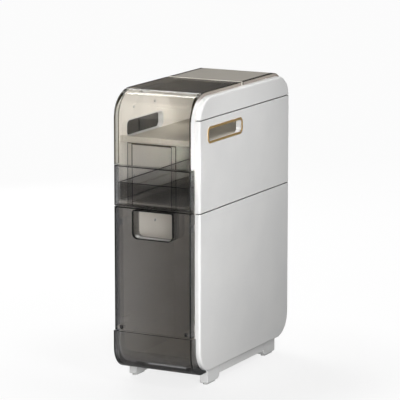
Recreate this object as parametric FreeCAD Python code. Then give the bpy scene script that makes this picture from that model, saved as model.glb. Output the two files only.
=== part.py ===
import FreeCAD, Part
import os

os.makedirs("parts", exist_ok=True)
V = FreeCAD.Vector

# Overall sizes in mm; x is the width, y runs from front to back and z is up from the floor
WIDTH = 220.0
SIDE_DEPTH = 454.0
SIDE_BOTTOM = 36.0
LOWER_HEIGHT = 368.0
MIDDLE_HEIGHT = 209.0
TOP_HEIGHT = 49.0
LID_PROUD = 8.0
DOOR_PROUD = 20.0
COVER_STEP = 2.5
COVER_DROP = 6.0
FRONT_SEAM_RISE = 5.5
DRAWER_HEIGHT = 93.5
DOOR_AXIS_RISE = 94.0

# Side walls: an outer shell that is open inwards and a flat liner that closes it
SIDE_THICK = 12.5
SIDE_SKIN = 2.5
SIDE_RIM = 5.0
SEAM_RIM = 3.0
SEAM_GAP = 2.0
SEAM_EDGE = 0.8
SIDE_CORNER = 55.0
SIDE_FILLET = 5.0
LINER_THICK = 3.0
LINER_INSET = 2.0

# Tinted front and top parts, which stand proud of the side walls
SHEET = 2.5
LID_CORNER = 67.0
COVER_CORNER = 53.0
REAR_CORNER = 52.0
REAR_INSET = 8.0
FRONT_GAP = 3.0
SIDE_CLEAR = 0.5
OUTLINE_CLEAR = 0.6
EDGE_ROUND = 1.5

# Grip frame on the lid and drawer, and the grip opening in the door
GRIP_WIDTH = 122.0
GRIP_STRIP = 11.5
GRIP_PROUD = 2.4
GRIP_BAR = 4.0
GRIP_RISE = 52.0
HOLE_WIDTH = 104.0
HOLE_HEIGHT = 66.5
HOLE_BELOW = 1.5
HOLE_CORNER = 14.0
HOLE_UPPER_CORNER = 6.0
BEZEL_DEPTH = 30.0
BEZEL_WALL = 2.2

# Paper slot with its frame and sleeve, and the plug that closes the left one
SLOT_LENGTH = 172.0
SLOT_HEIGHT = 38.0
SLOT_SETBACK = 122.0
SLOT_BELOW = 37.0
SLOT_FLAT = 12.0
SLOT_RING = 5.5
SLOT_OVER = 1.0
SLOT_PROUD = 1.2
SLOT_EDGE = 0.7
SLEEVE_WALL = 2.0
PLUG_THICK = 3.0

# Back, deck and shelf
BACK_RECESS = 20.0
BACK_THICK = 3.0
DECK_THICK = 5.0
DECK_CLEAR = 4.0
DECK_EDGE = 1.5
SHELF_DROP = 0.8
SHELF_THICK = 4.0
SHELF_SETBACK = 5.0
SHELF_LIP = 13.0
SHELF_LIP_UP = 8.3
SHELF_LIP_THICK = 3.0
SHELF_EDGE = 0.8

# Base with its floor, skirts, feet and pads, and the clips of the lower cover
FLOOR_RISE = 4.0
FLOOR_THICK = 4.0
FLOOR_CLEAR = 2.5
SKIRT_INSET = 9.0
SKIRT_WIDTH = 11.0
SKIRT_DROP = 19.5
FOOT_WIDTH = 19.0
FOOT_LENGTH = 60.0
FOOT_SETBACK = 53.0
FOOT_CORNER = 12.0
FOOT_TOE = 3.0
FOOT_EDGE = 1.5
PAD_HEIGHT = 4.0
PAD_INSET = 4.0
PAD_CORNER = 4.0
COVER_FOOT_GAP = 3.0
COVER_LAP = 2.5
COVER_RIM_GAP = 0.5
CLIP_LENGTH = 10.0
CLIP_WIDTH = 20.0
CLIP_SIDE = 20.0
CLIP_INSET = 2.0

# Drawer and its runners
BOX_LIFT = 13.0
BOX_DEPTH = 40.0
BOX_WALL = 2.5
BOX_CLEAR = 6.5
BOX_REAR_GAP = 51.5
BOX_CORNER = 8.0
RUN_CLEAR = 0.4
RUN_SHEET = 3.0
RUN_LEDGE = 10.0
RUN_HEIGHT = 24.0

# Hinges of the lid and of the door
PIN_R = 1.5
PIN_RUN = 0.06
LID_AXIS_DROP = 7.0
LID_TAIL = 2.0
EAR_CLEAR = 0.5
EAR_WIDTH = 6.0
KNUCKLE_WIDTH = 16.0
KNUCKLE_GAP = 0.4
KNUCKLE_ROOM = 2.0
HINGE_INSET = 18.5
REAR_GAP = 2.0
BRIDGE_FRONT = 9.0
BRIDGE_LEDGE = 6.0
BRIDGE_LIP = 2.0
LIP_DROP = 0.2
BRIDGE_THICK = 12.0
DOOR_AXIS_BACK = 7.0
DOOR_LIP = 6.5
SWEEP_CLEAR = 0.55
BOSS_CLEAR = 0.8
ARM_WIDTH = 6.0
ARM_CLEAR = 2.5
LUG_WIDTH = 6.0
LUG_GAP = 0.4
BRACKET_LENGTH = 30.0
BRACKET_HEIGHT = 22.0
BRACKET_BACK = 1.0

# Small fittings
CATCH_HEIGHT = 14.0
CATCH_DEPTH = 16.0
CATCH_WIDTH = 9.0
CATCH_GAP = 0.6
CATCH_BELOW = 30.0
STRIKE_DEPTH = 4.0
SCREW_R = 1.5
SCREW_HEAD_R = 3.2
SCREW_HEAD = 1.4
SCREW_SETBACK = 68.0
SCREW_PITCH = 99.0
SCREW_FROM_SEAM = 60.0
SCREW_FROM_TOP = 40.0
BACK_SCREW_R = 1.0
BACK_HEAD_R = 2.6
BACK_SCREW_INSET = 30.0

# Places across the width and the depth, worked out from the sizes above
OUT = WIDTH / 2
INN = OUT - SIDE_THICK
LIN = INN - LINER_THICK
FRONT_X = INN - SIDE_CLEAR
COVER_PROUD = DOOR_PROUD + COVER_STEP
Y_BACK = (SIDE_DEPTH + COVER_PROUD) / 2
Y_FRONT = Y_BACK - SIDE_DEPTH
Y_DOOR = Y_FRONT - DOOR_PROUD
Y_COVER = Y_FRONT - COVER_PROUD
Y_MID = Y_FRONT + SIDE_DEPTH / 2
Y_PANEL = Y_BACK - BACK_RECESS
Y_PANEL_BACK = Y_PANEL + BACK_THICK
Y_RETURN = Y_FRONT - OUTLINE_CLEAR
Y_SLOT = Y_FRONT + SLOT_SETBACK
Y_BEZEL = Y_DOOR + BEZEL_DEPTH
Y_DECK = Y_BEZEL + DECK_CLEAR
Y_DOOR_AXIS = Y_DOOR + DOOR_AXIS_BACK
Y_FOOT = Y_FRONT + FOOT_SETBACK

# Places in height, worked out from the sizes above
SEAM_LOW = SIDE_BOTTOM + LOWER_HEIGHT
SEAM_HIGH = SEAM_LOW + MIDDLE_HEIGHT
SIDE_TOP = SEAM_HIGH + TOP_HEIGHT
LID_TOP = SIDE_TOP + LID_PROUD
HALF_SEAM = SEAM_GAP / 2
FRONT_SEAM_LOW = SEAM_LOW + FRONT_SEAM_RISE
FRONT_SEAM_HIGH = FRONT_SEAM_LOW + DRAWER_HEIGHT
Z_DOOR_AXIS = SIDE_BOTTOM + DOOR_AXIS_RISE
Z_DOOR_BOTTOM = Z_DOOR_AXIS - DOOR_LIP
Z_DOOR_TOP = FRONT_SEAM_LOW - FRONT_GAP / 2
Z_DRAWER_BOTTOM = FRONT_SEAM_LOW + FRONT_GAP / 2
Z_DRAWER_TOP = FRONT_SEAM_HIGH - FRONT_GAP / 2
Z_LID_BOTTOM = FRONT_SEAM_HIGH + FRONT_GAP / 2
Z_LID_AXIS = LID_TOP - LID_AXIS_DROP
Z_COVER = SIDE_BOTTOM - COVER_DROP
Z_COVER_TOP = Z_DOOR_AXIS - (DOOR_AXIS_BACK ** 2 + DOOR_LIP ** 2) ** 0.5 - SWEEP_CLEAR
Z_FLOOR = SIDE_BOTTOM + FLOOR_RISE
Z_FLOOR_TOP = Z_FLOOR + FLOOR_THICK
Z_BOX_FLOOR = Z_DRAWER_BOTTOM + BOX_LIFT
Z_SLOT = SEAM_HIGH - SLOT_BELOW
Z_SHELF = Z_SLOT - SLOT_HEIGHT / 2 - SLOT_OVER + SLEEVE_WALL - SHELF_DROP
FAR = 2000.0
CUT = 1.0


def box(x0, x1, y0, y1, z0, z1):
    return Part.makeBox(x1 - x0, y1 - y0, z1 - z0, V(x0, y0, z0))


def rod_x(r, x0, x1, y, z):
    return Part.makeCylinder(r, x1 - x0, V(x0, y, z), V(1, 0, 0))


def rod_y(r, y0, y1, x, z):
    return Part.makeCylinder(r, y1 - y0, V(x, y0, z), V(0, 1, 0))


def prism(axis, start, end, a0, a1, b0, b1, radii):
    # Rounded rectangle pushed along one axis; radii run lower-left, lower-right, upper-right, upper-left
    places = {
        "x": lambda a, b: V(start, a, b),
        "y": lambda a, b: V(a, start, b),
        "z": lambda a, b: V(a, b, start),
    }
    place = places[axis]
    pushes = {"x": V(end - start, 0, 0), "y": V(0, end - start, 0), "z": V(0, 0, end - start)}
    corners = [(a0, b0, 1, 1), (a1, b0, -1, 1), (a1, b1, -1, -1), (a0, b1, 1, -1)]
    bulge = 1 - 2 ** -0.5
    ends = []
    middles = []
    for i, (a, b, da, db) in enumerate(corners):
        r = radii[i]
        along_a = place(a + da * r, b)
        along_b = place(a, b + db * r)
        ends.append((along_b, along_a) if i % 2 == 0 else (along_a, along_b))
        middles.append(place(a + da * r * bulge, b + db * r * bulge))
    edges = []
    for i, (first, last) in enumerate(ends):
        if radii[i] > 0:
            edges.append(Part.Arc(first, middles[i], last).toShape())
        edges.append(Part.makeLine(last, ends[(i + 1) % 4][0]))
    return Part.Face(Part.Wire(edges)).extrude(pushes[axis])


def mirror(shape):
    return shape.mirror(V(0, 0, 0), V(1, 0, 0))


def mirror_depth(shape):
    return shape.mirror(V(0, Y_MID, 0), V(0, 1, 0))


def both(shape):
    return [shape, mirror(shape)]


def join(shapes):
    return shapes[0].fuse(shapes[1:]).removeSplitter()


def cut_all(shape, tools):
    for tool in tools:
        shape = shape.cut(tool)
    return shape


def flat_on(edge, axis, value):
    low = getattr(edge.BoundBox, axis + "Min")
    high = getattr(edge.BoundBox, axis + "Max")
    return abs(low - value) < 1e-4 and abs(high - value) < 1e-4


def round_edges(shape, r, axis, value):
    return shape.makeFillet(r, [e for e in shape.Edges if flat_on(e, axis, value)])


def round_front(shape, r, y):
    # Rounds the long edges across the width at one depth
    return shape.makeFillet(r, [e for e in shape.Edges if flat_on(e, "Y", y) and e.BoundBox.XLength > LIN])


def save(name, shape):
    if isinstance(shape, list):
        shape = Part.makeCompound(shape)
    shape.exportStep("parts/" + name + ".step")


def save_pair(name, right):
    save(name + "_right", right)
    save(name + "_left", mirror(right))


# Paper slot outline, grown or shrunk from the outside of its frame
def slot(x0, x1, grow):
    half_l = SLOT_LENGTH / 2 + grow
    half_h = SLOT_HEIGHT / 2 + grow
    r = half_h - SLOT_FLAT / 2
    return prism("x", x0, x1, Y_SLOT - half_l, Y_SLOT + half_l, Z_SLOT - half_h, Z_SLOT + half_h, [r] * 4)


# White side walls in three stacked sections
wall = prism("x", INN, OUT, Y_FRONT, Y_BACK, SIDE_BOTTOM, SIDE_TOP, [SIDE_CORNER] * 4)
wall = round_edges(wall, SIDE_FILLET, "X", OUT)
wall_hollow = prism("x", INN, OUT - SIDE_SKIN, Y_FRONT + SIDE_RIM, Y_BACK - SIDE_RIM, SIDE_BOTTOM + SIDE_RIM,
                    SIDE_TOP - SIDE_RIM, [SIDE_CORNER - SIDE_RIM] * 4)


def side_section(z0, z1):
    band = box(0, FAR, -FAR, FAR, z0, z1)
    hollow_band = box(0, FAR, -FAR, FAR, z0 + SEAM_RIM, z1 - SEAM_RIM)
    section = wall.common(band)
    seam_edges = [e for e in section.Edges if (flat_on(e, "Z", z0) or flat_on(e, "Z", z1))
                  and not flat_on(e, "X", INN)]
    return section.makeFillet(SEAM_EDGE, seam_edges).cut(wall_hollow.common(hollow_band))


lower_side = side_section(-FAR, SEAM_LOW - HALF_SEAM)
middle_side = side_section(SEAM_LOW + HALF_SEAM, SEAM_HIGH - HALF_SEAM)
top_side = side_section(SEAM_HIGH + HALF_SEAM, FAR)
save_pair("lower_side", lower_side)
save_pair("middle_side", middle_side.cut(slot(INN, OUT + CUT, SLOT_OVER)))
save_pair("top_side", top_side)

# Frame and sleeve of the paper slot in each side wall, and the plug in the left one
frame_face = OUT + SLOT_PROUD
frame = slot(OUT, frame_face, 0).cut(slot(OUT - CUT, frame_face + CUT, -SLOT_RING))
sleeve_inside = SLOT_OVER - SLEEVE_WALL
sleeve = slot(LIN, OUT, SLOT_OVER).cut(slot(LIN - CUT, OUT + CUT, sleeve_inside))
save_pair("slot_frame", round_edges(frame, SLOT_EDGE, "X", frame_face))
save_pair("slot_sleeve", sleeve)
save("slot_plug", mirror(slot(OUT - PLUG_THICK, OUT, sleeve_inside)))

# Cream liners that close the side walls towards the inside, with their screws
liner = prism("x", LIN, INN, Y_FRONT + LINER_INSET, Y_BACK - LINER_INSET, SIDE_BOTTOM + LINER_INSET,
              SIDE_TOP - LINER_INSET, [SIDE_CORNER - LINER_INSET] * 4)
lower_liner = liner.common(box(0, FAR, -FAR, Y_PANEL, Z_FLOOR_TOP, SEAM_LOW - HALF_SEAM))
upper_liner = liner.common(box(0, FAR, -FAR, Y_PANEL, SEAM_LOW + HALF_SEAM, FAR))
upper_liner = upper_liner.cut(slot(LIN - CUT, INN + CUT, SLOT_OVER))
screw_heights = (Z_FLOOR_TOP + SCREW_FROM_SEAM, SEAM_LOW - SCREW_FROM_SEAM, SEAM_LOW + SCREW_FROM_SEAM,
                 SIDE_TOP - SCREW_FROM_TOP)
screws = []
for z in screw_heights:
    for y in (Y_FRONT + SCREW_SETBACK, Y_FRONT + SCREW_SETBACK + SCREW_PITCH):
        shank = rod_x(SCREW_R, LIN, INN, y, z)
        head = rod_x(SCREW_HEAD_R, LIN - SCREW_HEAD, LIN, y, z)
        lower_liner = lower_liner.cut(shank)
        upper_liner = upper_liner.cut(shank)
        screws += both(join([head, shank]))
save_pair("lower_liner", lower_liner)
save_pair("upper_liner", upper_liner)
save("liner_screws", screws)

# Base: floor, skirts between the feet, feet and rubber pads
floor_reach = SIDE_CORNER - (SIDE_CORNER ** 2 - (SIDE_CORNER - FLOOR_RISE) ** 2) ** 0.5
floor_front = Y_FRONT + floor_reach + FLOOR_CLEAR
save("base_floor", box(-INN, INN, floor_front, Y_PANEL_BACK, Z_FLOOR, Z_FLOOR_TOP))
skirt_out = OUT - SKIRT_INSET
foot_in = skirt_out - FOOT_WIDTH
foot_end = Y_FOOT + FOOT_LENGTH
rail = box(foot_in, INN, Y_FOOT, 2 * Y_MID - Y_FOOT, SIDE_BOTTOM, Z_FLOOR)
skirt = box(skirt_out - SKIRT_WIDTH, skirt_out, foot_end, 2 * Y_MID - foot_end, SIDE_BOTTOM - SKIRT_DROP,
            SIDE_BOTTOM)
save_pair("base_skirt", join([rail, skirt]))
foot = prism("x", foot_in, skirt_out, Y_FOOT, foot_end, PAD_HEIGHT, SIDE_BOTTOM,
             [FOOT_TOE, FOOT_CORNER, 0, 0])
outer_edges = [e for e in foot.Edges if flat_on(e, "X", skirt_out) and not flat_on(e, "Z", SIDE_BOTTOM)]
foot = foot.makeFillet(FOOT_EDGE, outer_edges)
save_pair("front_foot", foot)
save_pair("rear_foot", mirror_depth(foot))
pad = prism("z", 0, PAD_HEIGHT, foot_in + PAD_INSET, skirt_out - PAD_INSET, Y_FOOT + PAD_INSET,
            foot_end - FOOT_CORNER, [PAD_CORNER] * 4)
save("foot_pads", both(pad) + both(mirror_depth(pad)))

# Back panels with their screws into the liners
rear_arc_y = Y_BACK - REAR_INSET - REAR_CORNER
rear_arc_z = LID_TOP - REAR_CORNER
cover_end_z = rear_arc_z + (REAR_CORNER ** 2 - (Y_PANEL - rear_arc_y) ** 2) ** 0.5
lower_back = box(-INN, INN, Y_PANEL, Y_PANEL_BACK, Z_FLOOR_TOP, SEAM_LOW - HALF_SEAM)
upper_back = box(-INN, INN, Y_PANEL, Y_PANEL_BACK, SEAM_LOW + HALF_SEAM, cover_end_z - SHEET)
screw_x = INN - BACK_HEAD_R
back_heights = (Z_FLOOR_TOP + BACK_SCREW_INSET, (Z_FLOOR_TOP + SEAM_LOW) / 2, SEAM_LOW - BACK_SCREW_INSET,
                SEAM_LOW + BACK_SCREW_INSET, SEAM_HIGH - BACK_SCREW_INSET)
back_screws = []
for z in back_heights:
    shank = rod_y(BACK_SCREW_R, Y_PANEL, Y_PANEL_BACK, screw_x, z)
    head = rod_y(BACK_HEAD_R, Y_PANEL_BACK, Y_PANEL_BACK + SCREW_HEAD, screw_x, z)
    lower_back = cut_all(lower_back, both(shank))
    upper_back = cut_all(upper_back, both(shank))
    back_screws += both(join([shank, head]))
save("lower_back_panel", lower_back)
save("upper_back_panel", upper_back)
save("back_screws", back_screws)

# Deck between the lower and upper space, and the shelf above the drawer
deck = box(-LIN, LIN, Y_DECK, Y_PANEL, SEAM_LOW - DECK_THICK, SEAM_LOW)
save("module_deck", round_front(deck, DECK_EDGE, Y_DECK))
shelf_front = Y_FRONT + SHELF_SETBACK
lip_top = Z_SHELF + SHELF_LIP_UP
shelf_plate = box(-LIN, LIN, shelf_front, Y_PANEL, Z_SHELF - SHELF_THICK, Z_SHELF)
shelf_lip = box(-LIN, LIN, shelf_front, shelf_front + SHELF_LIP_THICK, lip_top - SHELF_LIP, lip_top)
save("upper_shelf", round_front(join([shelf_plate, shelf_lip]), SHELF_EDGE, shelf_front))


# Thin tinted hood with returned sides, kept clear of the outline of the side walls
def hood(half, y0, y1, z0, z1, radii):
    outer = prism("x", -half, half, y0, y1, z0, z1, radii)
    outer = round_edges(outer, EDGE_ROUND, "X", half)
    outer = round_edges(outer, EDGE_ROUND, "X", -half)
    inner_radii = [max(r - SHEET, 0) for r in radii]
    inner = prism("x", SHEET - half, half - SHEET, y0 + SHEET, y1 - SHEET, z0 + SHEET, z1 - SHEET,
                  inner_radii)
    walls = prism("x", -OUT, OUT, Y_RETURN, Y_BACK + OUTLINE_CLEAR, SIDE_BOTTOM - OUTLINE_CLEAR,
                  SIDE_TOP + OUTLINE_CLEAR, [SIDE_CORNER + OUTLINE_CLEAR] * 4)
    return outer.cut(inner).cut(walls)


# Lid over the front half of the top, curving down into the front window, with its grip frame and knuckles
lid = hood(FRONT_X, Y_DOOR, Y_BACK, SIDE_BOTTOM, LID_TOP, [0, 0, 0, LID_CORNER])
lid = lid.common(box(-FAR, FAR, -FAR, Y_MID + LID_TAIL, Z_LID_BOTTOM, FAR))
lid = lid.cut(box(-FAR, FAR, Y_MID, FAR, -FAR, LID_TOP - SHEET))
grip_half = GRIP_WIDTH / 2
grip_open = grip_half - GRIP_STRIP
grip_top = Z_LID_BOTTOM + GRIP_RISE
grip = box(-grip_half, grip_half, Y_DOOR - GRIP_PROUD, Y_DOOR, Z_LID_BOTTOM, grip_top)
grip = grip.cut(box(-grip_open, grip_open, -FAR, FAR, -FAR, grip_top - GRIP_BAR))
knuckle_r = LID_AXIS_DROP - SHEET - EAR_CLEAR
knuckle_in = LIN - HINGE_INSET - KNUCKLE_WIDTH / 2
knuckle_out = knuckle_in + KNUCKLE_WIDTH
knuckle = rod_x(knuckle_r, knuckle_in, knuckle_out, Y_MID, Z_LID_AXIS)
web = box(knuckle_in, knuckle_out, Y_MID - knuckle_r, Y_MID + LID_TAIL, Z_LID_AXIS, LID_TOP - SHEET)
lid = join([lid, grip] + both(knuckle) + both(web))
lid_bore = rod_x(PIN_R + PIN_RUN, knuckle_in - CUT, knuckle_out + CUT, Y_MID, Z_LID_AXIS)
save("front_lid", cut_all(lid, both(lid_bore)))

# Bridge under the top seam, with the ears and pins of the lid hinge
bridge_top = Z_LID_AXIS - knuckle_r - KNUCKLE_ROOM
rear_edge = Y_MID + LID_AXIS_DROP + REAR_GAP
ledge_back = rear_edge + BRIDGE_LEDGE
cover_front = rear_edge + BRIDGE_LIP
bridge_parts = [box(-LIN, LIN, Y_MID - BRIDGE_FRONT, ledge_back, bridge_top - BRIDGE_THICK, bridge_top),
                box(-LIN, LIN, rear_edge, ledge_back, bridge_top, LID_TOP - SHEET),
                box(-LIN, LIN, rear_edge, cover_front, bridge_top, LID_TOP - LIP_DROP)]
ear_in = knuckle_in - KNUCKLE_GAP - EAR_WIDTH
ear_out = knuckle_out + KNUCKLE_GAP + EAR_WIDTH
for x in (ear_in, ear_out - EAR_WIDTH):
    bridge_parts += both(rod_x(knuckle_r, x, x + EAR_WIDTH, Y_MID, Z_LID_AXIS))
    bridge_parts += both(box(x, x + EAR_WIDTH, Y_MID - knuckle_r, Y_MID + knuckle_r, bridge_top, Z_LID_AXIS))
lid_pins = both(rod_x(PIN_R, ear_in, ear_out, Y_MID, Z_LID_AXIS))
save("top_bridge", cut_all(join(bridge_parts), lid_pins))
save("lid_hinge_pins", lid_pins)

# Fixed cover over the rear half of the top, ending on the back panel
rear = hood(FRONT_X, Y_DOOR, Y_BACK - REAR_INSET, SIDE_BOTTOM, LID_TOP, [0, 0, REAR_CORNER, 0])
save("rear_top_cover", rear.common(box(-FAR, FAR, cover_front, Y_PANEL, rear_arc_z, FAR)))


# Flat tinted front with returned edges; the return along the lower edge may be left out
def front_panel(z0, z1, hollow_bottom):
    shell = round_edges(box(-FRONT_X, FRONT_X, Y_DOOR, Y_RETURN, z0, z1), EDGE_ROUND, "Y", Y_DOOR)
    return shell.cut(box(SHEET - FRONT_X, FRONT_X - SHEET, Y_DOOR + SHEET, FAR, hollow_bottom, z1 - SHEET))


# Drawer: tinted front with grip strips, a low box behind it and a pair of runners
drawer_front = front_panel(Z_DRAWER_BOTTOM, Z_DRAWER_TOP, Z_DRAWER_BOTTOM + SHEET)
strip = box(grip_open, grip_half, Y_DOOR - GRIP_PROUD, Y_DOOR, Z_DRAWER_BOTTOM + EDGE_ROUND,
            Z_DRAWER_TOP - EDGE_ROUND)
save("drawer_front", join([drawer_front] + both(strip)))
box_half = LIN - BOX_CLEAR
box_front = Y_DOOR + SHEET
box_back = Y_PANEL - BOX_REAR_GAP
box_bottom = Z_BOX_FLOOR - BOX_WALL
box_rim = Z_BOX_FLOOR + BOX_DEPTH
inner_corner = BOX_CORNER - BOX_WALL
box_body = prism("z", box_bottom, box_rim, -box_half, box_half, box_front, box_back,
                 [0, 0, BOX_CORNER, BOX_CORNER])
box_hollow = prism("z", Z_BOX_FLOOR, box_rim + CUT, BOX_WALL - box_half, box_half - BOX_WALL,
                   box_front + BOX_WALL, box_back - BOX_WALL, [0, 0, inner_corner, inner_corner])
save("drawer_box", box_body.cut(box_hollow))
run_top = box_bottom - RUN_CLEAR
run_bottom = run_top - RUN_SHEET
run_wall = box(LIN - RUN_SHEET, LIN, Y_DECK, Y_PANEL, run_bottom, run_bottom + RUN_HEIGHT)
run_ledge = box(LIN - RUN_SHEET - RUN_LEDGE, LIN - RUN_SHEET, Y_DECK, Y_PANEL, run_bottom, run_top)
save_pair("drawer_runner", join([run_wall, run_ledge]))

# Flip-down door with its grip opening and the bezel that lines the opening
hole_half = HOLE_WIDTH / 2
hole_top = Z_DOOR_TOP - SHEET - HOLE_BELOW
hole_bottom = hole_top - HOLE_HEIGHT
hole_radii = [HOLE_CORNER, HOLE_CORNER, HOLE_UPPER_CORNER, HOLE_UPPER_CORNER]
bezel_radii = [r - BEZEL_WALL for r in hole_radii]
bezel_out = prism("y", Y_DOOR, Y_BEZEL, -hole_half, hole_half, hole_bottom, hole_top, hole_radii)
bezel_in = prism("y", Y_DOOR - CUT, Y_BEZEL + CUT, BEZEL_WALL - hole_half, hole_half - BEZEL_WALL,
                 hole_bottom + BEZEL_WALL, hole_top - BEZEL_WALL, bezel_radii)
save("door_grip_bezel", bezel_out.cut(bezel_in))
door = front_panel(Z_DOOR_BOTTOM, Z_DOOR_TOP, -FAR).cut(bezel_out)

# Door hinge: lugs and pins on the door, and brackets on the liners
arm_out = FRONT_X - SHEET - ARM_CLEAR
arm_in = arm_out - ARM_WIDTH
lug_out = arm_in - LUG_GAP
lug_in = lug_out - LUG_WIDTH
boss_r = DOOR_AXIS_BACK - SHEET - BOSS_CLEAR
boss_low = Z_DOOR_AXIS - boss_r
boss_high = Z_DOOR_AXIS + boss_r
lug = join([rod_x(boss_r, lug_in, lug_out, Y_DOOR_AXIS, Z_DOOR_AXIS),
            box(lug_in, lug_out, Y_DOOR + SHEET, Y_DOOR_AXIS, boss_low, boss_high)])
door_pins = both(rod_x(PIN_R, lug_in, arm_out, Y_DOOR_AXIS, Z_DOOR_AXIS))
save("lower_door", cut_all(join([door] + both(lug)), door_pins))
save("door_hinge_pins", door_pins)
plate_front = Y_FRONT + LINER_INSET + BRACKET_BACK
plate_back = plate_front + BRACKET_LENGTH
bracket = join([rod_x(boss_r, arm_in, arm_out, Y_DOOR_AXIS, Z_DOOR_AXIS),
                box(arm_in, arm_out, Y_DOOR_AXIS, plate_back, boss_low, boss_high),
                box(arm_in, LIN, plate_front, plate_back, boss_low, boss_low + BRACKET_HEIGHT)])
save_pair("door_hinge_bracket", bracket.cut(rod_x(PIN_R + PIN_RUN, 0, FAR, Y_DOOR_AXIS, Z_DOOR_AXIS)))

# Magnetic catches on the liners and steel strikes on the door
catch_top = Z_DOOR_TOP - CATCH_BELOW
catch_low = catch_top - CATCH_HEIGHT
catch_front = Y_RETURN + CATCH_GAP
strike_out = FRONT_X - SHEET
catch = box(LIN - CATCH_WIDTH, LIN, catch_front, catch_front + CATCH_DEPTH, catch_low, catch_top)
strike = box(strike_out - CATCH_WIDTH, strike_out, Y_RETURN - STRIKE_DEPTH, Y_RETURN, catch_low, catch_top)
save("door_catches", both(catch))
save("door_strikes", both(strike))

# Fixed cover that wraps the lower front corner and laps over the walls, with the clips that hold it
cover = hood(FRONT_X + COVER_LAP, Y_COVER, Y_BACK, Z_COVER, LID_TOP, [COVER_CORNER, 0, 0, 0])
cover_end = Y_FOOT - COVER_FOOT_GAP
cover_wrap = cover.common(box(-FAR, FAR, -FAR, cover_end, -FAR, Z_COVER_TOP))
rim_top = min(Z_DOOR_BOTTOM, Z_DOOR_AXIS - DOOR_AXIS_BACK) - COVER_RIM_GAP
cover_rim = cover.common(box(-FAR, FAR, -FAR, Y_DOOR, Z_COVER_TOP, rim_top))
save("bottom_cover", join([cover_wrap, cover_rim]))
clip_back = cover_end - CLIP_INSET
clip_out = LIN - CLIP_SIDE
clip = box(clip_out - CLIP_WIDTH, clip_out, clip_back - CLIP_LENGTH, clip_back, Z_COVER + SHEET, Z_FLOOR)
save("cover_clips", both(clip))
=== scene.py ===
import math
import bpy
from mathutils import Matrix, Vector


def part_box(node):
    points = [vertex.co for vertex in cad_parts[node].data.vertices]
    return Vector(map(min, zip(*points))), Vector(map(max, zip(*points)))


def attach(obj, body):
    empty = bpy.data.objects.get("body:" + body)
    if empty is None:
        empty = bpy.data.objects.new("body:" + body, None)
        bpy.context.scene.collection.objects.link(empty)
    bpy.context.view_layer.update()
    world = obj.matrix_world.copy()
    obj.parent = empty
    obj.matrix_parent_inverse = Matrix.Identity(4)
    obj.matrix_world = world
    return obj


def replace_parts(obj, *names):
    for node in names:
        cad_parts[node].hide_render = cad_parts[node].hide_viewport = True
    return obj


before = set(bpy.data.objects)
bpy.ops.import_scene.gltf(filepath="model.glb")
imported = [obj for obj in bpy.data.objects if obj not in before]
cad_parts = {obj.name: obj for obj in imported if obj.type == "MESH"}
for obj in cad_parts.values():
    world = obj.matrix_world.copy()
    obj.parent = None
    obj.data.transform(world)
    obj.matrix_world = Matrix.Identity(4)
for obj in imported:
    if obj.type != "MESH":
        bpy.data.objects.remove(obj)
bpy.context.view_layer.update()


# Side walls, skirts, feet and slot sleeves: white plastic, injection moulded with a satin grain.
# Each wall is three sections, stacked on each other. No light gets between the end faces that meet
# in a seam, so those faces are darkened.
WHITE_SHADES = ((0.70, 0.70, 0.695), (0.73, 0.728, 0.72))
WHITE_ROUGHNESS = 0.34
PORE_ROUGHNESS = 0.10
FLOW_ROUGHNESS = 0.04
SEAM_SHADE_GREY = (0.16, 0.16, 0.155)
SEAM_HEIGHTS = (0.404, 0.613)
SEAM_REACH = 0.005
SEAM_SOFTNESS = 0.001
SEAM_FACING = (0.55, 0.95)
MOTTLE = (0.3, 0.7)
GRAIN_DEPTH = 0.0002


class Wire:
    """A shader socket that can be used in Python sums; a | b is the larger of the two."""

    def __init__(self, finish, socket):
        self.finish = finish
        self.socket = socket

    def maths(self, operation, *values):
        return self.finish.node("ShaderNodeMath", {"operation": operation}, dict(enumerate(values)))

    def __add__(self, other):
        return self.maths("ADD", self, other)

    def __radd__(self, other):
        return self.maths("ADD", other, self)

    def __sub__(self, other):
        return self.maths("SUBTRACT", self, other)

    def __rsub__(self, other):
        return self.maths("SUBTRACT", other, self)

    def __mul__(self, other):
        return self.maths("MULTIPLY", self, other)

    def __rmul__(self, other):
        return self.maths("MULTIPLY", other, self)

    def __or__(self, other):
        return self.maths("MAXIMUM", self, other)

    def __ror__(self, other):
        return self.maths("MAXIMUM", other, self)

    def __abs__(self):
        return self.maths("ABSOLUTE", self)


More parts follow.
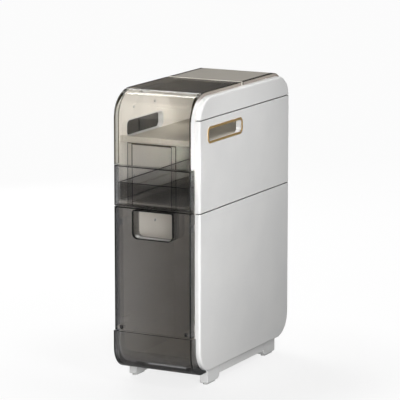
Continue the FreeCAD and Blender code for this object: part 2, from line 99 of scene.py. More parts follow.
class Finish:
    """A material that is built node by node, on the piece's own coordinates."""

    def __init__(self, name):
        self.material = bpy.data.materials.new(name)
        self.material.use_nodes = True
        self.tree = self.material.node_tree
        self.tree.nodes.clear()

    def node(self, kind, settings=None, inputs=None, output=0):
        made = self.tree.nodes.new(kind)
        for name, value in (settings or {}).items():
            setattr(made, name, value)
        for key, value in (inputs or {}).items():
            socket = self.pick(made.inputs, key)
            if isinstance(value, Wire):
                self.tree.links.new(value.socket, socket)
            elif socket.type == "RGBA":
                socket.default_value = (*value, 1)
            else:
                socket.default_value = value
        if made.outputs:
            return Wire(self, self.pick(made.outputs, output))

    def pick(self, sockets, key):
        if isinstance(key, int):
            return sockets[key]
        found = [socket for socket in sockets if socket.identifier == key]
        return found[0] if found else sockets[key]

    def place(self):
        return self.node("ShaderNodeTexCoord", output="Object")

    def axis(self, name):
        return self.node("ShaderNodeSeparateXYZ", None, {0: self.place()}, name)

    def facing(self, name):
        normal = self.node("ShaderNodeTexCoord", output="Normal")
        return self.node("ShaderNodeSeparateXYZ", None, {0: normal}, name)

    def noise(self, scale, detail=2.0, stretch=None):
        spot = self.place()
        if stretch:
            spot = self.node("ShaderNodeMapping", None, {"Vector": spot, "Scale": stretch})
        return self.node("ShaderNodeTexNoise", None, {"Vector": spot, "Scale": scale, "Detail": detail})

    def fade(self, value, low, high, start=0.0, end=1.0):
        return self.node("ShaderNodeMapRange", {"interpolation_type": "SMOOTHSTEP"}, {
            "Value": value, "From Min": low, "From Max": high, "To Min": start, "To Max": end,
        })

    def blend(self, factor, first, second):
        return self.node("ShaderNodeMix", {"data_type": "RGBA"},
                         {"Factor_Float": factor, "A_Color": first, "B_Color": second}, "Result_Color")

    def bump(self, height, strength, distance=GRAIN_DEPTH):
        return self.node("ShaderNodeBump", None, {
            "Height": height, "Strength": strength, "Distance": distance,
        })

    def shader(self, inputs):
        return self.node("ShaderNodeBsdfPrincipled", None, inputs)

    def close(self, surface, dye=None):
        ends = {"Surface": surface}
        if dye:
            colour, density = dye
            ends["Volume"] = self.node("ShaderNodeVolumeAbsorption", None,
                                       {"Color": colour, "Density": density})
        self.node("ShaderNodeOutputMaterial", None, ends)
        return self.material


def dress(names, material):
    for name in names:
        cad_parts[name].material_slots[0].material = material


def sides(*names):
    return [f"{name}_{side}" for name in names for side in ("right", "left")]


white = Finish("white_satin_plastic")
flow = white.noise(scale=9.0, detail=3.0)
grain = white.noise(scale=2600.0)
pores = white.noise(scale=900.0, detail=1.0)
white_colour = white.blend(white.fade(flow, *MOTTLE), *WHITE_SHADES)
# Painted shade: the end faces in each seam are greyed, as no light gets between them.
for seam in SEAM_HEIGHTS:
    low_end = seam - SEAM_REACH
    high_end = seam + SEAM_REACH
    above = white.fade(white.axis("Z"), low_end, low_end + SEAM_SOFTNESS)
    below = white.fade(white.axis("Z"), high_end, high_end - SEAM_SOFTNESS)
    seam_shade_face = white.fade(abs(white.facing("Z")), *SEAM_FACING) * above * below
    white_colour = white.blend(seam_shade_face, white_colour, SEAM_SHADE_GREY)
white_shader = white.shader({
    "Base Color": white_colour,
    "Roughness": WHITE_ROUGHNESS + PORE_ROUGHNESS * pores + FLOW_ROUGHNESS * flow,
    "IOR": 1.5,
    "Normal": white.bump(grain, strength=0.12),
})
white_names = sides("lower_side", "middle_side", "top_side", "base_skirt", "front_foot", "rear_foot",
                    "slot_sleeve")
dress(white_names, white.close(white_shader))


# Foot pads: flat pads of soft pale rubber, cut from sheet.
# They are glued under the four feet and keep the cabinet from sliding.
RUBBER_SHADES = ((0.50, 0.50, 0.49), (0.58, 0.58, 0.57))
RUBBER_ROUGHNESS = 0.75
CRUMB_ROUGHNESS = 0.15
CRUMB_DEPTH = 0.0003
rubber = Finish("pale_rubber")
crumb = rubber.noise(scale=1500.0, detail=3.0)
rubber_shader = rubber.shader({
    "Base Color": rubber.blend(crumb, *RUBBER_SHADES),
    "Roughness": RUBBER_ROUGHNESS + CRUMB_ROUGHNESS * crumb,
    "Normal": rubber.bump(crumb, strength=0.4, distance=CRUMB_DEPTH),
})
dress(["foot_pads"], rubber.close(rubber_shader))


# Slot frames: plastic mouldings, plated in a warm gold tone and brushed along the slot.
# One is snapped into the slot of each side wall, around its sleeve.
GOLD_SHADES = ((0.80, 0.53, 0.20), (0.88, 0.62, 0.28))
GOLD_ROUGHNESS = 0.30
BRUSH_ROUGHNESS = 0.14
BRUSH_STRETCH = (1.0, 0.08, 1.0)
gold = Finish("gold_plating")
brush = gold.noise(scale=700.0, stretch=BRUSH_STRETCH)
gold_shader = gold.shader({
    "Base Color": gold.blend(gold.fade(brush, *MOTTLE), *GOLD_SHADES),
    "Metallic": 1.0,
    "Roughness": GOLD_ROUGHNESS + BRUSH_ROUGHNESS * brush,
})
dress(sides("slot_frame"), gold.close(gold_shader))


# Plug of the left slot and clips of the lower cover: black plastic, moulded with a fine grain.
# The plug closes the slot that isn't used, and the clips hold the lower cover to the base floor.
BLACK_SHADES = ((0.014, 0.013, 0.012), (0.026, 0.025, 0.024))
BLACK_ROUGHNESS = 0.45
FLECK_ROUGHNESS = 0.15
black = Finish("black_moulded_plastic")
fleck = black.noise(scale=2200.0)
black_shader = black.shader({
    "Base Color": black.blend(fleck, *BLACK_SHADES),
    "Specular IOR Level": 0.2,
    "Roughness": BLACK_ROUGHNESS + FLECK_ROUGHNESS * fleck,
    "Normal": black.bump(fleck, strength=0.25),
})
dress(["slot_plug", "cover_clips"], black.close(black_shader))


# Liners, base floor, deck, back panels, runners, brackets and bridge: matt cream plastic, moulded.
# The liners are screwed to the side walls and carry the runners, the brackets and the bridge.
# The back panels are screwed to the liners from behind.
CREAM_SHADES = ((0.87, 0.83, 0.765), (0.90, 0.865, 0.80))
MATT_ROUGHNESS = 0.46
SPECKLE_ROUGHNESS = 0.12
SPECKLE_STRENGTH = 0.2


def matt_plastic(name, shades, cloud_scale, speckle_scale):
    made = Finish(name)
    cloud = made.noise(cloud_scale, detail=4.0)
    speckle = made.noise(speckle_scale)
    return made.close(made.shader({
        "Base Color": made.blend(made.fade(cloud, *MOTTLE), *shades),
        "Roughness": MATT_ROUGHNESS + SPECKLE_ROUGHNESS * speckle,
        "Normal": made.bump(speckle, SPECKLE_STRENGTH),
    }))


cream_finish = matt_plastic("cream_matt_plastic", CREAM_SHADES, cloud_scale=14.0, speckle_scale=1800.0)
dress(sides("lower_liner", "upper_liner", "drawer_runner", "door_hinge_bracket"), cream_finish)
dress(["base_floor", "lower_back_panel", "upper_back_panel", "module_deck", "top_bridge"], cream_finish)


# Shelf above the drawer: a slab with a turned-up lip, moulded in a darker beige plastic.
# It is held between the upper liners, just under the slots.
BEIGE_SHADES = ((0.51, 0.475, 0.41), (0.55, 0.515, 0.445))
dress(["upper_shelf"],
      matt_plastic("beige_matt_plastic", BEIGE_SHADES, cloud_scale=11.0, speckle_scale=1700.0))


# Hinge pins and door strikes: bright zinc-plated steel, turned for the pins and stamped for the strikes.
# The pins run in the hinges of the lid and the door. The strikes sit on the door, in front of the catches.
STEEL_SHADES = ((0.50, 0.50, 0.50), (0.66, 0.66, 0.65))
STEEL_ROUGHNESS = 0.28
LATHE_ROUGHNESS = 0.16
steel = Finish("zinc_plated_steel")
lathe = steel.noise(scale=1400.0)
steel_finish = steel.close(steel.shader({
    "Base Color": steel.blend(lathe, *STEEL_SHADES),
    "Metallic": 1.0,
    "Roughness": STEEL_ROUGHNESS + LATHE_ROUGHNESS * lathe,
}))
dress(["lid_hinge_pins", "door_hinge_pins", "door_strikes"], steel_finish)


# Liner and back screws: pan-head screws with a cross recess, formed from zinc-plated steel wire.
# One of each kind is modelled and copied to the places of the CAD screws.
# Each copy is turned further than the one before, as driven screws end up at any angle.
LINER_FACE_X = 0.0945
LINER_SCREW_Y = (-0.14775, -0.04875)
LINER_SCREW_Z = (0.104, 0.344, 0.464, 0.622)
LINER_HEAD_R = 0.0032
LINER_SHANK_R = 0.0015
BACK_FACE_Y = 0.22125
BACK_SCREW_X = 0.0949
BACK_SCREW_Z = (0.074, 0.224, 0.374, 0.434, 0.583)
BACK_HEAD_R = 0.0026
BACK_SHANK_R = 0.001
HEAD_HEIGHT = 0.0014
HEAD_SIDES = 40
SHANK_LENGTH = 0.003
DOME_SHARE = 0.8
DOME_STEPS = 6
CROSS_LENGTH = 1.15
CROSS_WIDTH = 0.30
CROSS_CENTRE = 0.85
SCREW_TURN = math.radians(47)
QUARTER_TURN = math.radians(90)
SMOOTH_ANGLE = math.radians(35)
FACING_DOWN = -0.9
TOP_SHARE = 0.9


def choose(piece, kind, test):
    bpy.ops.object.mode_set(mode="EDIT")
    bpy.ops.mesh.select_mode(type=kind)
    bpy.ops.mesh.select_all(action="DESELECT")
    bpy.ops.object.mode_set(mode="OBJECT")
    for item in piece.data.polygons if kind == "FACE" else piece.data.edges:
        item.select = test(item)
    bpy.ops.object.mode_set(mode="EDIT")


def pick_only(piece):
    bpy.ops.object.select_all(action="DESELECT")
    piece.select_set(True)
    bpy.context.view_layer.objects.active = piece


def apply_place():
    bpy.ops.object.transform_apply(location=True, rotation=True, scale=True)


def cut_with(piece, cutter):
    pick_only(piece)
    cut = piece.modifiers.new("cut", "BOOLEAN")
    cut.operation = "DIFFERENCE"
    cut.solver = "EXACT"
    cut.object = cutter
    bpy.ops.object.modifier_apply(modifier=cut.name)
    bpy.data.objects.remove(cutter)


def block(size, place):
    bpy.ops.object.select_all(action="DESELECT")
    bpy.ops.mesh.primitive_cube_add(size=1.0, location=place)
    piece = bpy.context.object
    piece.scale = size
    apply_place()
    return piece


def pan_screw(head_r, shank_r):
    bpy.ops.object.select_all(action="DESELECT")
    bpy.ops.mesh.primitive_cylinder_add(vertices=HEAD_SIDES, radius=head_r, depth=HEAD_HEIGHT,
                                        location=(0, 0, HEAD_HEIGHT / 2))
    piece = bpy.context.object
    apply_place()
    choose(piece, "FACE", lambda face: face.normal.z < FACING_DOWN)
    bpy.ops.mesh.inset(thickness=head_r - shank_r)
    bpy.ops.mesh.extrude_region_move(TRANSFORM_OT_translate={"value": (0, 0, -SHANK_LENGTH)})
    bpy.ops.object.mode_set(mode="OBJECT")
    top = [vertex.index for vertex in piece.data.vertices if vertex.co.z > TOP_SHARE * HEAD_HEIGHT]
    choose(piece, "EDGE", lambda edge: edge.vertices[0] in top and edge.vertices[1] in top)
    bpy.ops.mesh.bevel(offset=DOME_SHARE * HEAD_HEIGHT, offset_type="OFFSET", segments=DOME_STEPS,
                       profile=0.5)
    bpy.ops.object.mode_set(mode="OBJECT")
    long_side = CROSS_LENGTH * head_r
    short_side = CROSS_WIDTH * head_r
    for size in ((long_side, short_side, HEAD_HEIGHT), (short_side, long_side, HEAD_HEIGHT)):
        cut_with(piece, block(size, (0, 0, CROSS_CENTRE * HEAD_HEIGHT)))
    bpy.ops.object.shade_smooth_by_angle(angle=SMOOTH_ANGLE)
    return piece


def screw_set(name, source, turns_and_places):
    copies = []
    for number, (turn, place) in enumerate(turns_and_places):
        copy = source.copy()
        copy.data = source.data.copy()
        bpy.context.scene.collection.objects.link(copy)
        roll = Matrix.Rotation(SCREW_TURN * number, 4, "Z")
        copy.matrix_world = Matrix.Translation(place) @ turn @ roll
        copies.append(copy)
    bpy.data.objects.remove(source)
    pick_only(copies[0])
    for copy in copies:
        copy.select_set(True)
    bpy.ops.object.join()
    apply_place()
    piece = bpy.context.object
    piece.name = name
    piece.data.materials.clear()
    piece.data.materials.append(steel_finish)
    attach(piece, "cabinet")
    return piece


dress(["liner_screws", "back_screws"], steel_finish)
liner_places = []
for side in (1, -1):
    to_inside = Matrix.Rotation(-QUARTER_TURN * side, 4, "Y")
    for z in LINER_SCREW_Z:
        for y in LINER_SCREW_Y:
            liner_places.append((to_inside, (side * LINER_FACE_X, y, z)))
liner_screw_set = screw_set("liner_screw_set", pan_screw(LINER_HEAD_R, LINER_SHANK_R), liner_places)
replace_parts(liner_screw_set, "liner_screws")
to_back = Matrix.Rotation(-QUARTER_TURN, 4, "X")
back_places = []
for side in (1, -1):
    for z in BACK_SCREW_Z:
        back_places.append((to_back, (side * BACK_SCREW_X, BACK_FACE_Y, z)))
back_screw_set = screw_set("back_screw_set", pan_screw(BACK_HEAD_R, BACK_SHANK_R), back_places)
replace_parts(back_screw_set, "back_screws")


# Magnetic catches: cream moulded housings with a pocket in front, fixed to the liners behind the door.
# The pocket holds a pair of steel pole plates, which carry the pull of the magnet to the strike.
CATCH_LOW, CATCH_HIGH = (Vector(corner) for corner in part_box("door_catches"))
CATCH_WIDTH = 0.009
CATCH_DEPTH = CATCH_HIGH.y - CATCH_LOW.y
CATCH_HEIGHT = CATCH_HIGH.z - CATCH_LOW.z
CATCH_ROUND = 0.0008
POCKET_WALL = 0.0011
POCKET_DEPTH = 0.003
PLATE_WIDTH = 0.0012
PLATE_DEPTH = 0.0055
PLATE_HEIGHT = 0.0095
PLATE_ROUND = 0.0002
PLATE_SETBACK = 0.0004
PLATE_SHIFTS = (-0.0014, 0.0014)
FACING_FRONT = -0.99
catch_centre = (CATCH_LOW + CATCH_HIGH) / 2
catch_centre.x = CATCH_HIGH.x - CATCH_WIDTH / 2


def mirrored_pair(piece, name, material):
    pick_only(piece)
    flip = piece.modifiers.new("flip", "MIRROR")
    flip.use_axis = (True, False, False)
    flip.use_mirror_merge = False
    bpy.ops.object.modifier_apply(modifier=flip.name)
    bpy.ops.object.mode_set(mode="EDIT")
    bpy.ops.mesh.select_all(action="SELECT")
    bpy.ops.mesh.normals_make_consistent(inside=False)
    bpy.ops.object.mode_set(mode="OBJECT")
    bpy.ops.object.shade_smooth_by_angle(angle=SMOOTH_ANGLE)
    piece.name = name
    piece.data.materials.append(material)
    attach(piece, "cabinet")
    return piece


dress(["door_catches"], cream_finish)
housing = block((CATCH_WIDTH, CATCH_DEPTH, CATCH_HEIGHT), catch_centre)
choose(housing, "EDGE", lambda edge: True)
bpy.ops.mesh.bevel(offset=CATCH_ROUND, segments=3)
choose(housing, "FACE", lambda face: face.normal.y < FACING_FRONT)
bpy.ops.mesh.inset(thickness=POCKET_WALL)
bpy.ops.mesh.extrude_region_move(TRANSFORM_OT_translate={"value": (0, POCKET_DEPTH, 0)})
bpy.ops.object.mode_set(mode="OBJECT")
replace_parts(mirrored_pair(housing, "catch_housings", cream_finish), "door_catches")
plate_y = CATCH_LOW.y + PLATE_SETBACK + PLATE_DEPTH / 2
for number, shift in enumerate(PLATE_SHIFTS):
    plate_place = (catch_centre.x + shift, plate_y, catch_centre.z)
    plate = block((PLATE_WIDTH, PLATE_DEPTH, PLATE_HEIGHT), plate_place)
    choose(plate, "EDGE", lambda edge: True)
    bpy.ops.mesh.bevel(offset=PLATE_ROUND, segments=2)
    bpy.ops.object.mode_set(mode="OBJECT")
    mirrored_pair(plate, f"catch_plates_{number + 1}", steel_finish)


# Drawer: a flat front with returned edges and a pair of raised grip strips, and a low tray behind it.
# Both are clear plastic dyed smoke grey, injection moulded and glued to each other. Along rims and rounded
# edges the colour is painted almost black, as painted shade.
SMOKE_DYE = (0.02, 0.02, 0.05)
DRAWER_DENSITY = 85.0
TRAY_DENSITY = 22.0
DRAWER_SEE_THROUGH = 0.80
TRAY_SEE_THROUGH = 0.85
CLEARNESS = 0.94
FLANK_GREY = (0.75, 0.75, 0.75)
EDGE_SHADE_BLACK = (0.02, 0.02, 0.02)
FLANK_COVER = 0.45
LINE_COVER = 0.97
CLEAR_IOR = 1.49
POLISH = 0.03
SCUFF_ROUGHNESS = 0.05
SCUFFED = (0.45, 0.75)
SCUFF_STRETCH = (1.0, 1.0, 0.15)
RIPPLE_DEPTH = 0.002
EDGE_X = 0.0936
EDGE_SOFTNESS = 0.0002
SQUARE_ON = (0.90, 0.99)
TURNED_AWAY = (0.99, 0.90)
PANEL_SKIN = (-0.2330, -0.2338)
PROUD_OF_PANEL = (-0.2359, -0.2360)
STRIP_FACING = (0.8, 0.9)
ROUNDING_START = (0.05, 0.25)
RIM_START = 0.0016
RIM_FULL = 0.0010
TRAY_FOOT_START = 0.0014
TRAY_FOOT_FULL = 0.0008
UPRIGHT = (0.8, 0.5)
TRAY_FOOT, TRAY_RIM = (corner[2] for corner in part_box("drawer_box"))


# Smoke-dyed clear plastic; where the dark mask is set, the colour is painted almost black as painted shade.
def smoke(made, dark, flank, see_through, clearness=CLEARNESS):
    ripple = made.noise(scale=22.0)
    scuff = made.noise(scale=160.0, detail=4.0, stretch=SCUFF_STRETCH)
    pale = made.blend(flank, (clearness, clearness, clearness), FLANK_GREY)
    return made.shader({
        "Base Color": made.blend(dark, pale, EDGE_SHADE_BLACK),
        "Roughness": POLISH + SCUFF_ROUGHNESS * made.fade(scuff, *SCUFFED),
        "IOR": CLEAR_IOR,
        "Specular IOR Level": 0.25,
        "Transmission Weight": 1.0,
        "Alpha": (1.0 - see_through + FLANK_COVER * flank) | (LINE_COVER * dark),
        "Normal": made.bump(ripple, strength=0.05, distance=RIPPLE_DEPTH),
    })


def across(made):
    return abs(made.axis("X"))


# Painted shade on the rounded side edges, out past the given reach.
def shade_border(made, distance, reach):
    past = made.fade(distance, reach - EDGE_SOFTNESS, reach + EDGE_SOFTNESS)
    return past * made.fade(abs(made.facing("X")), *TURNED_AWAY)


# Painted shade along the top rim.
def rim_edge_shade(made, top):
    return made.fade(made.axis("Z"), top - RIM_START, top - RIM_FULL)


# Painted shade on the sides of the raised grip strips and on the rounded edges of the front skin.
def panel_edge_shade(made):
    depth = made.axis("Y")
    lean = abs(made.facing("Z"))
    strip_sides = made.fade(depth, *PROUD_OF_PANEL) * made.fade(abs(made.facing("X")), *STRIP_FACING)
    rounding = made.fade(lean, *ROUNDING_START) * made.fade(lean, *TURNED_AWAY)
    edges = shade_border(made, across(made), EDGE_X) | rounding
    return strip_sides | made.fade(depth, *PANEL_SKIN) * edges


def panel_flank(made):
    return made.fade(abs(made.facing("X")) | abs(made.facing("Z")), *SQUARE_ON)


drawer_front = Finish("drawer_front_plastic")
drawer_shader = smoke(drawer_front, panel_edge_shade(drawer_front), panel_flank(drawer_front), DRAWER_SEE_THROUGH)
dress(["drawer_front"], drawer_front.close(drawer_shader, (SMOKE_DYE, DRAWER_DENSITY)))
tray = Finish("smoke_tray_plastic")
# Painted shade along the tray's top rim and along its foot.
tray_foot = tray.fade(tray.axis("Z"), TRAY_FOOT + TRAY_FOOT_START, TRAY_FOOT + TRAY_FOOT_FULL)
tray_edge_shade = rim_edge_shade(tray, TRAY_RIM) | tray_foot * tray.fade(abs(tray.facing("Z")), *UPRIGHT)
tray_shader = smoke(tray, tray_edge_shade, 0.0, TRAY_SEE_THROUGH)
dress(["drawer_box"], tray.close(tray_shader, (SMOKE_DYE, TRAY_DENSITY)))


# Lower cover: a smoke-dyed moulding that wraps the lower front corner and laps over the side walls.
# It is clipped to the base floor. Its rim, its lower edge and its corners are painted almost black, as
# painted shade.
COVER_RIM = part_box("bottom_cover")[1][2]
COVER_LAP = 0.0025
COVER_DENSITY = 165.0
COVER_SEE_THROUGH = 0.55
COVER_CLEARNESS = 0.45
COVER_LOW_EDGE = (0.0335, 0.0315)
COVER_CORNER_X = (0.078, 0.096)
COVER_CORNER_Z = (0.070, 0.045)
cover = Finish("smoke_cover_plastic")
# Painted shade masks: the lower edge, the lower corners, the side edges and the rim.
cover_low_shade_mask = cover.fade(cover.axis("Z"), *COVER_LOW_EDGE)
cover_corner_shade_mask = cover.fade(across(cover), *COVER_CORNER_X) * cover.fade(cover.axis("Z"), *COVER_CORNER_Z)
cover_side_shade_mask = shade_border(cover, across(cover), EDGE_X + COVER_LAP)
cover_painted_shade = rim_edge_shade(cover, COVER_RIM) | cover_low_shade_mask | cover_corner_shade_mask | cover_side_shade_mask
cover_flank = cover.fade(abs(cover.facing("X")), *SQUARE_ON)
cover_shader = smoke(cover, cover_painted_shade, cover_flank, COVER_SEE_THROUGH, COVER_CLEARNESS)
dress(["bottom_cover"], cover.close(cover_shader, (SMOKE_DYE, COVER_DENSITY)))


# Door: a flat smoke-dyed panel with returned edges, moulded with the lugs of its hinge.
# It flips down on the pins at its foot and is held shut by the catches.
DOOR_DENSITY = 235.0
DOOR_SEE_THROUGH = 0.65
door = Finish("smoke_panel_plastic")
# The door's rounded edges and the sides of its grip strips get painted shade, almost black.
door_shader = smoke(door, panel_edge_shade(door), panel_flank(door), DOOR_SEE_THROUGH)
dress(["lower_door"], door.close(door_shader, (SMOKE_DYE, DOOR_DENSITY)))


# Grip bezel: a smoke-dyed collar that lines the grip opening of the door and is glued into it.
# Its front edge gets painted shade, and on the floor of the collar behind that edge a white band is painted
# as a highlight.
BEZEL_LOW, BEZEL_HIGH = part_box("door_grip_bezel")
BEZEL_FRONT = BEZEL_LOW[1]
BEZEL_MIDDLE = (BEZEL_LOW[2] + BEZEL_HIGH[2]) / 2
BEZEL_LINE_FULL = BEZEL_FRONT + 0.0040
BEZEL_LINE_END = BEZEL_FRONT + 0.0060
BEZEL_FLANK_START = BEZEL_FRONT + 0.003
BEZEL_FLANK_FULL = BEZEL_FRONT + 0.008
LEDGE_START = BEZEL_FRONT + 0.0070
LEDGE_FADE = BEZEL_FRONT + 0.0180
LEDGE_END = BEZEL_FRONT + 0.0240
LEDGE_BELOW = 0.01
LEDGE_FACING = (0.45, 0.9)
LEDGE_COVER = 0.9
LEDGE_HIGHLIGHT_WHITE = (0.85, 0.84, 0.81)
bezel = Finish("smoke_bezel_plastic")
bezel_depth = bezel.axis("Y")
# Painted shade along the front edge of the collar.
bezel_edge_shade = bezel.fade(bezel_depth, BEZEL_LINE_END, BEZEL_LINE_FULL)
bezel_flank = bezel.fade(bezel_depth, BEZEL_FLANK_START, BEZEL_FLANK_FULL)
bezel_shader = smoke(bezel, bezel_edge_shade, bezel_flank, DOOR_SEE_THROUGH)
ledge_highlight_shader = bezel.shader({"Base Color": LEDGE_HIGHLIGHT_WHITE, "Roughness": 0.3})
# Painted highlight: a white band on the upward faces of the lower collar floor, just behind the front edge.
low_half = bezel.fade(bezel.axis("Z"), BEZEL_MIDDLE, BEZEL_MIDDLE - LEDGE_BELOW)
behind_line = bezel.fade(bezel_depth, BEZEL_LINE_END, LEDGE_START)
before_end = bezel.fade(bezel_depth, LEDGE_END, LEDGE_FADE)
facing_up = bezel.fade(bezel.facing("Z"), *LEDGE_FACING)
ledge_highlight_mask = LEDGE_COVER * facing_up * low_half * behind_line * before_end
bezel_mix = bezel.node("ShaderNodeMixShader", None, {0: ledge_highlight_mask, 1: bezel_shader, 2: ledge_highlight_shader})
dress(["door_grip_bezel"], bezel.close(bezel_mix, (SMOKE_DYE, DOOR_DENSITY)))


# Lid: a clear hood with a pale warm dye, moulded with its grip frame and the knuckles of its hinge.
# The front window is clear, the flat top is darker and hides the hinge. The flanks are frosted, white in
# front and brown above. Its side edges and the rims of its grip frame get painted shade, a brown-black
# line.
HOOD_DYE = (0.62, 0.58, 0.48)
HOOD_DENSITY = 60.0
WINDOW_TINT = (0.97, 0.965, 0.95)
LINE_SHADE_BROWN = (0.03, 0.022, 0.012)
FROST_CREAM = (0.70, 0.66, 0.59)
FLANK_WHITE = (0.88, 0.88, 0.87)
FLANK_BROWN = (0.34, 0.30, 0.26)
FLANK_X = 0.0964
FROST_COVER = 0.92
FROST_ROUGHNESS = 0.30
FROST_GRAIN_ROUGHNESS = 0.10
HOOD_SHADE_LINE_COVER = 0.95
WINDOW_COVER = 0.08
SLANT_COVER = 0.83
SLANTED = (0.35, 0.75)
TOP_ROUGHNESS = 0.10
WIDER_TOP_LINE = 0.005
WIDENING = (0.630, 0.668)
LID_TOP = (0.6655, 0.6685)
LID_BROW = (0.648, 0.662)
LID_TOP_BROWN = (0.05, 0.044, 0.038)
GRIP_TOP = 0.5565
GRIP_HALF = 0.061
GRIP_INNER = 0.0495
GRIP_TOP_START = GRIP_TOP - 0.0022
GRIP_TOP_FULL = GRIP_TOP - 0.0016
GRIP_RIM_START = 0.0012
GRIP_RIM_FULL = 0.0008


def clear_hood(made, lines, top_span, brow_span, top_colour, milkiness):
    height = made.axis("Z")
    distance = across(made)
    top = made.fade(height, *top_span)
    brow = made.fade(height, *brow_span)
    slant = made.fade(made.node("ShaderNodeLayerWeight", None, {"Blend": 0.5}, "Facing"), *SLANTED)
    widened = distance + WIDER_TOP_LINE * made.fade(height, *WIDENING)
    # Painted shade: the given lines and a band along the side edges, wider near the top, are painted
    # brown-black.
    line = lines | shade_border(made, widened, EDGE_X)
    clear = made.shader({
        "Base Color": made.blend(line, made.blend(top, WINDOW_TINT, top_colour), LINE_SHADE_BROWN),
        "Roughness": POLISH + TOP_ROUGHNESS * top,
        "IOR": CLEAR_IOR,
        "Transmission Weight": 1.0,
        "Alpha": (WINDOW_COVER + SLANT_COVER * slant * brow) | (HOOD_SHADE_LINE_COVER * line),
        "Normal": made.bump(made.noise(scale=7.0, detail=1.0), strength=0.008, distance=RIPPLE_DEPTH),
    })
    frost_grain = made.noise(scale=1500.0)
    outside = made.fade(distance, FLANK_X - EDGE_SOFTNESS, FLANK_X + EDGE_SOFTNESS)
    flank = made.fade(abs(made.facing("X")), *SQUARE_ON) * outside
    frost = made.shader({
        "Base Color": made.blend(flank, FROST_CREAM, made.blend(brow, FLANK_WHITE, FLANK_BROWN)),
        "Roughness": FROST_ROUGHNESS + FROST_GRAIN_ROUGHNESS * frost_grain,
        "Normal": made.bump(frost_grain, strength=0.15),
    })
    milky = (FROST_COVER * flank) | (milkiness * (1.0 - line))
    mixed = made.node("ShaderNodeMixShader", None, {0: milky, 1: clear, 2: frost})
    return made.close(mixed, (HOOD_DYE, HOOD_DENSITY))


lid = Finish("pale_clear_plastic")
# Painted shade lines on the rims of the grip frame, where it stands proud of the window.
proud = lid.fade(lid.axis("Y"), *PROUD_OF_PANEL)
top_rim = lid.fade(lid.axis("Z"), GRIP_TOP_START, GRIP_TOP_FULL)
outer_rim = lid.fade(across(lid), GRIP_HALF - GRIP_RIM_START, GRIP_HALF - GRIP_RIM_FULL)
inner_rim = lid.fade(across(lid), GRIP_INNER + GRIP_RIM_START, GRIP_INNER + GRIP_RIM_FULL)
grip_shade_lines = proud * (top_rim | outer_rim | inner_rim)
dress(["front_lid"], clear_hood(lid, grip_shade_lines, LID_TOP, LID_BROW, LID_TOP_BROWN, milkiness=0.0))


# Rear cover: a fixed hood over the rear half of the top, in the same clear plastic as the lid.
# It ends on the back panel, is milky all over and has no grip.
REAR_TOP = (0.600, 0.610)
REAR_TOP_BROWN = (0.45, 0.42, 0.37)
rear = Finish("pale_cover_plastic")
# Its side edges get the same painted shade lines as the lid.
dress(["rear_top_cover"], clear_hood(rear, 0.0, REAR_TOP, REAR_TOP, REAR_TOP_BROWN, milkiness=0.45))


# Studio floor: a wide sheet of matt card, laid flat under the feet.
# It looks white from afar, keeps a soft shadow around the feet, and throws a greyer light back.
FLOOR_SIZE = 40.0
CARD_WHITE = (1.0, 1.0, 1.0)
BOUNCE_GREY = (0.25, 0.25, 0.25)
MIRRORED_SHARE = 0.3
GLOW_NEAR = 0.78
GLOW_FAR = 0.965
SHADOW_REACH = 0.26
SHADOW_END = 0.60
bpy.ops.object.select_all(action="DESELECT")
bpy.ops.mesh.primitive_plane_add(size=FLOOR_SIZE)
floor = bpy.context.object
floor.name = "studio_floor"
card = Finish("studio_card")
lens_ray = card.node("ShaderNodeLightPath", output="Is Camera Ray")
clear_ray = card.node("ShaderNodeLightPath", output="Is Transmission Ray")
glossy_ray = card.node("ShaderNodeLightPath", output="Is Glossy Ray")
seen = lens_ray | clear_ray | (MIRRORED_SHARE * glossy_ray)
away = card.node("ShaderNodeVectorMath", {"operation": "LENGTH"}, {0: card.place()}, "Value")
glow_share = card.fade(away, SHADOW_REACH, SHADOW_END, GLOW_NEAR, GLOW_FAR)
bounce = card.node("ShaderNodeBsdfDiffuse", None, {"Color": BOUNCE_GREY})
shaded = card.node("ShaderNodeBsdfDiffuse", None, {"Color": CARD_WHITE})
glow = card.node("ShaderNodeEmission", None, {"Color": CARD_WHITE, "Strength": 1.0})
sheet = card.node("ShaderNodeMixShader", None, {0: glow_share, 1: shaded, 2: glow})
floor.data.materials.append(card.close(
    card.node("ShaderNodeMixShader", None, {0: seen, 1: bounce, 2: sheet})))


# Studio light: a dim grey room with soft boxes in front and on the right for the walls and the top.
# Two narrow beams reach into the upper space, two strips behind draw the highlights on the hoods,
# and a large box lights the left side and the back.
ROOM_COLOUR = (1.0, 1.0, 1.0, 1.0)
ROOM_STRENGTH = 0.09


def soft_box(name, place, aim, width, height, spread, power, mirrored=True):
    data = bpy.data.lights.new(name, "AREA")
    data.shape = "RECTANGLE"
    data.size = width
    data.size_y = height
    data.spread = math.radians(spread)
    data.energy = power
    lamp = bpy.data.objects.new(name, data)
    lamp.location = place
    lamp.visible_glossy = mirrored
    lamp.rotation_euler = (Vector(aim) - Vector(place)).to_track_quat("-Z", "Y").to_euler()
    bpy.context.scene.collection.objects.link(lamp)


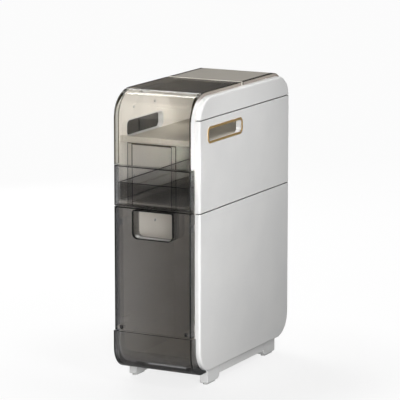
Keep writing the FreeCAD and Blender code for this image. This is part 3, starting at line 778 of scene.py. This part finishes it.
soft_box("key_box", place=(0.75, -0.75, 0.28), aim=(0.11, -0.26, 0.18),
         width=0.3, height=0.5, spread=65, power=0.71)
soft_box("high_key", place=(0.85, -0.5, 1.45), aim=(0.08, 0.08, 0.66),
         width=0.5, height=0.5, spread=50, power=1.55)
soft_box("camera_box", place=(1.3, -2.6, 0.85), aim=(-0.05, -0.2, 0.30),
         width=0.5, height=0.5, spread=40, power=2.4)
soft_box("inner_box", place=(0.74, -1.66, 0.743), aim=(0.042, -0.235, 0.505),
         width=0.10, height=0.05, spread=4, power=0.046)
soft_box("upper_box", place=(0.72, -1.66, 0.86), aim=(0.025, -0.235, 0.625),
         width=0.09, height=0.05, spread=4, power=0.030)
soft_box("front_box", place=(0.35, -3.0, 0.45), aim=(0, 0, 0.35),
         width=1.0, height=0.8, spread=180, power=8.6)
soft_box("back_strip", place=(-0.95, 1.4, 1.75), aim=(0, -0.15, 0.65),
         width=1.4, height=0.10, spread=180, power=6.0)
soft_box("rear_fill", place=(-1.7, 1.3, 0.9), aim=(0, 0.05, 0.38),
         width=1.2, height=1.2, spread=180, power=36.0, mirrored=False)
soft_box("high_strip", place=(-0.82, 0.62, 2.05), aim=(0, -0.18, 0.66),
         width=1.0, height=0.22, spread=180, power=3.6)
room = bpy.data.worlds.new("studio_room")
bpy.context.scene.world = room
room.use_nodes = True
room_light = room.node_tree.nodes["Background"]
room_light.inputs["Color"].default_value = ROOM_COLOUR
room_light.inputs["Strength"].default_value = ROOM_STRENGTH


# Camera: a long lens far away, slightly above the cabinet and to its right.
# Its place and lens come from the fit to the cabinet's straight edges.
AIM = Vector((-0.008685, 0.01125, 0.388))
TURN = math.radians(27.53)
RISE = math.radians(10.872)
DISTANCE = 5.8797
FOCAL_LENGTH = 228.7
SENSOR_WIDTH = 36.0
VIEW_END = 100.0
lens = bpy.data.cameras.new("camera")
lens.lens = FOCAL_LENGTH
lens.sensor_width = SENSOR_WIDTH
lens.clip_end = VIEW_END
camera = bpy.data.objects.new("camera", lens)
back = Vector((math.sin(TURN) * math.cos(RISE), -math.cos(TURN) * math.cos(RISE), math.sin(RISE)))
camera.location = AIM + back * DISTANCE
camera.rotation_euler = (-back).to_track_quat("-Z", "Y").to_euler()
bpy.context.scene.collection.objects.link(camera)
bpy.context.scene.camera = camera
bpy.context.scene.view_settings.view_transform = "Standard"
